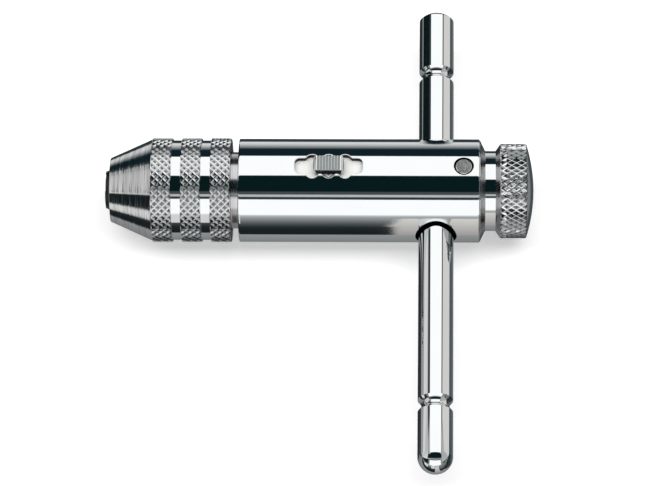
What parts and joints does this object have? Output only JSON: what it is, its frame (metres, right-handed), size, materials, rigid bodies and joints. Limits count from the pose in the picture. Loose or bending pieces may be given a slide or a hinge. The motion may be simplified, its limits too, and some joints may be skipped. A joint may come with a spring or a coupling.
{
  "type": "t-handle tap wrench",
  "caption": "Reversible ratchet tap wrench: tubular barrel with a sliding T-bar, a knurled screw-closed chuck and a sliding direction selector.",
  "frame": {"origin": "centre of the chuck mouth, at the front face of the spindle nose", "axes": "+X back along the tool axis to the end knob, so a tap leaves along -X; +Y along the T-bar, whose longer arm points to -Y at rest; +Z out through the selector slot"},
  "size_m": [0.085, 0.1025, 0.0216],
  "materials": {
    "chrome": "polished chrome plate",
    "button_steel": "satin plated steel",
    "pin_steel": "ground, matt end face",
    "dark_steel": "hardened, oil blackened",
    "turned_steel": "fine turned",
    "spring_steel": "drawn wire"
  },
  "bodies": {
    "barrel": {"barrel_tube": "chrome", "ratchet_housing": "turned_steel", "end_knob": "chrome", "retaining_pin": "pin_steel", "detent_ball": "pin_steel", "detent_spring": "spring_steel", "rocker_pin": "pin_steel"},
    "spindle": {"spindle": "turned_steel", "thrust_washer": "turned_steel", "spindle_retaining_ring": "spring_steel", "jaw_spring": "spring_steel"},
    "sleeve_ring": {"sleeve_stop_ring": "spring_steel"},
    "chuck_sleeve": {"chuck_sleeve": "chrome"},
    "jaw_upper": {"jaw_upper": "dark_steel"},
    "jaw_lower": {"jaw_lower": "dark_steel"},
    "selector": {"selector_button": "button_steel", "selector_plate": "chrome", "selector_detent_spring": "spring_steel", "selector_plunger": "pin_steel", "plunger_spring": "spring_steel"},
    "rocker": {"rocker_pawl": "dark_steel"},
    "t_bar": {"t_bar": "chrome"}
  },
  "joints": [
    {"name": "spindle_turn", "type": "hinge", "parent": "barrel", "child": "spindle", "pos_m": [0, 0, 0], "axis": [1, 0, 0], "continuous": true},
    {"name": "sleeve_travel", "type": "slide", "parent": "spindle", "child": "sleeve_ring", "axis": [1, 0, 0], "range_m": [-0.0025, 0.00139]},
    {"name": "sleeve_turn", "type": "hinge", "parent": "sleeve_ring", "child": "chuck_sleeve", "pos_m": [0.0239, 0, 0], "axis": [1, 0, 0], "range_deg": [-720.1, 400.1]},
    {"name": "jaw_upper_slide", "type": "slide", "parent": "spindle", "child": "jaw_upper", "axis": [0, 0, 1], "range_m": [-0.00063, 0.00114], "deforming": ["jaw_spring"]},
    {"name": "jaw_lower_slide", "type": "slide", "parent": "spindle", "child": "jaw_lower", "axis": [0, 0, -1], "range_m": [-0.00063, 0.00114]},
    {"name": "selector_slide", "type": "slide", "parent": "barrel", "child": "selector", "axis": [1, 0, 0], "range_m": [-0.00325, 0.00325], "deforming": ["selector_detent_spring"]},
    {"name": "rocker_tilt", "type": "hinge", "parent": "barrel", "child": "rocker", "pos_m": [0.04448, 0, 0.00685], "axis": [0, 1, 0], "range_deg": [-5.02, 5.02]},
    {"name": "t_bar_slide", "type": "slide", "parent": "barrel", "child": "t_bar", "axis": [0, 1, 0], "range_m": [-0.02585, 0.04775]}
  ],
  "couplings": [
    {"joint": "sleeve_turn", "follows": "sleeve_travel", "rad_per_m": 5026.5},
    {"joint": "jaw_upper_slide", "follows": "sleeve_travel", "ratio": -0.45573},
    {"joint": "jaw_lower_slide", "follows": "sleeve_travel", "ratio": -0.45573},
    {"joint": "rocker_tilt", "follows": "selector_slide", "rad_per_m": 26.851}
  ]
}
